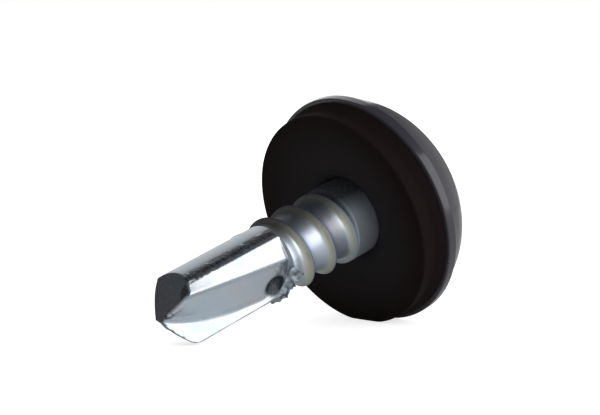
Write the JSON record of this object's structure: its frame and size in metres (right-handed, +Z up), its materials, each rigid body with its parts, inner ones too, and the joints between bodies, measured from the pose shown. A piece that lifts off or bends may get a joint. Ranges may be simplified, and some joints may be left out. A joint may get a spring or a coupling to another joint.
{
  "type": "self-tapping screw",
  "caption": "Self-tapping screw with a drill point, a short coarse thread, a painted dome head and a bonded steel and rubber sealing washer, lying on its side.",
  "frame": {"origin": "under the middle of the lying screw, on the surface it lies on", "axes": "+X along the shank as seen from above, towards the head; +Z up; the axis rises about 19 degrees towards the head"},
  "size_m": [0.0202, 0.014, 0.0134],
  "materials": {
    "zinc_plated_steel": "bright zinc plated; the head is powder coated dark grey",
    "painted_steel": "satin powder coat, dark grey",
    "epdm_rubber": "matt, bonded to the disc"
  },
  "bodies": {
    "root": {"screw": "zinc_plated_steel", "washer_disc": "painted_steel", "sealing_ring": "epdm_rubber"}
  },
  "joints": []
}
